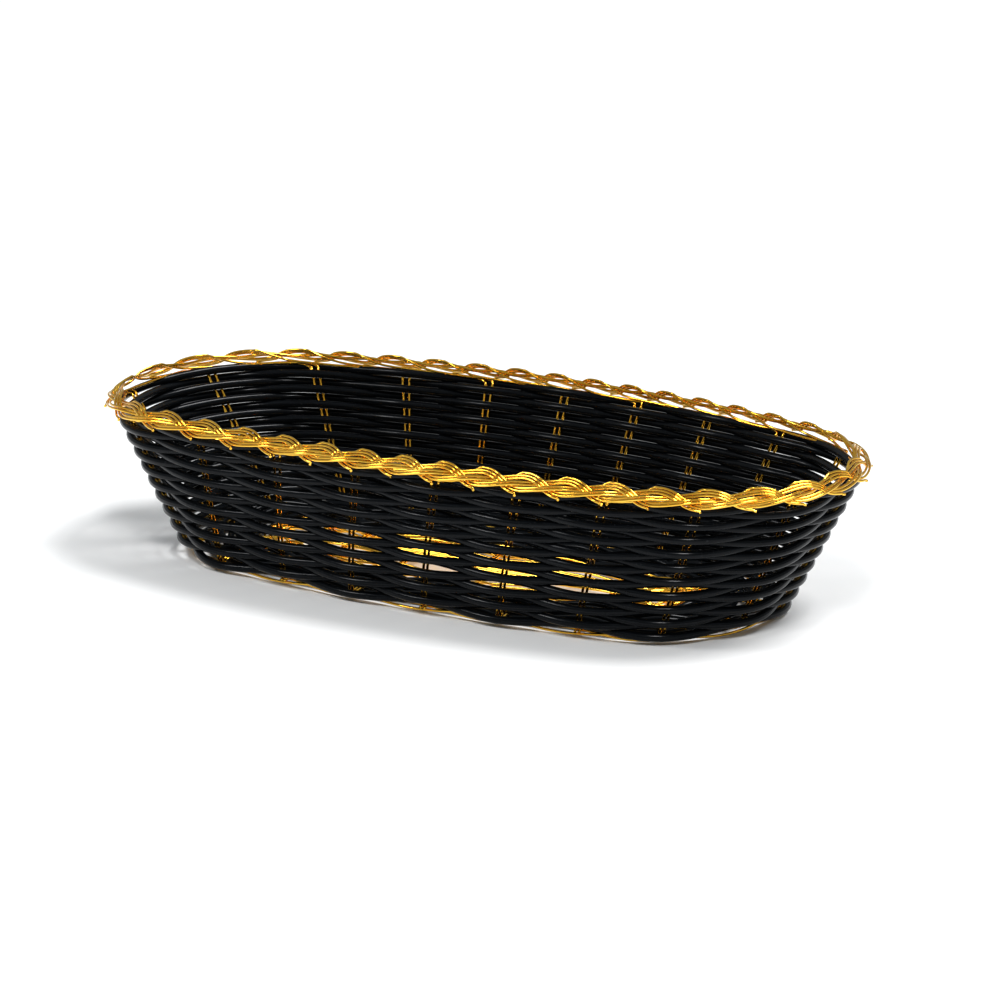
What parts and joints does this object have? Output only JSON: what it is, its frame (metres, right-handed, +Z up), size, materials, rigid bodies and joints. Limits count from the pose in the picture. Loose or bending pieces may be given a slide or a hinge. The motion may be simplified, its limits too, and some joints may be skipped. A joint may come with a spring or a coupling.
{
  "type": "bread basket",
  "caption": "Oblong open bread basket woven from glossy black cord on gold wire stakes, with flared walls and a plaited gold wire rim.",
  "frame": {"origin": "centre of the base, on the surface the basket rests on", "axes": "+X along the length of the basket, +Z up, +Y towards one long side"},
  "size_m": [0.3805, 0.1692, 0.0756],
  "materials": {
    "black_cord": "glossy round black plastic cord",
    "gold_wire": "bright gold-coloured metal wire"
  },
  "bodies": {
    "root": {"wall_row_01": "black_cord", "wall_row_02": "black_cord", "wall_row_03": "black_cord", "wall_row_04": "black_cord", "wall_row_05": "black_cord", "wall_row_06": "black_cord", "wall_row_07": "black_cord", "wall_row_08": "black_cord", "wall_row_09": "black_cord", "wall_row_10": "black_cord", "wall_row_11": "black_cord", "wall_row_12": "black_cord", "wall_row_13": "black_cord", "wall_row_14": "black_cord", "wall_row_15": "black_cord", "wall_row_16": "black_cord", "wall_row_17": "black_cord", "wall_row_18": "black_cord", "wall_row_19": "black_cord", "base_round_1": "black_cord", "base_round_2": "black_cord", "base_round_3": "black_cord", "base_round_4": "black_cord", "base_round_5": "black_cord", "base_round_6": "black_cord", "base_round_7": "black_cord", "base_gold_round_1": "gold_wire", "base_gold_round_2": "gold_wire", "base_gold_round_3": "gold_wire", "base_gold_round_4": "gold_wire", "base_gold_round_5": "gold_wire", "base_gold_round_6": "gold_wire", "side_stakes_1": "gold_wire", "side_stakes_2": "gold_wire", "side_stakes_3": "gold_wire", "side_stakes_4": "gold_wire", "side_stakes_5": "gold_wire", "end_stakes_1": "gold_wire", "end_stakes_2": "gold_wire", "end_stakes_3": "gold_wire", "end_stakes_4": "gold_wire", "end_stakes_5": "gold_wire", "foot_wire_a": "gold_wire", "foot_wire_b": "gold_wire", "rim_strand_a": "gold_wire", "rim_strand_b": "gold_wire", "rim_strand_c": "gold_wire"}
  },
  "joints": []
}
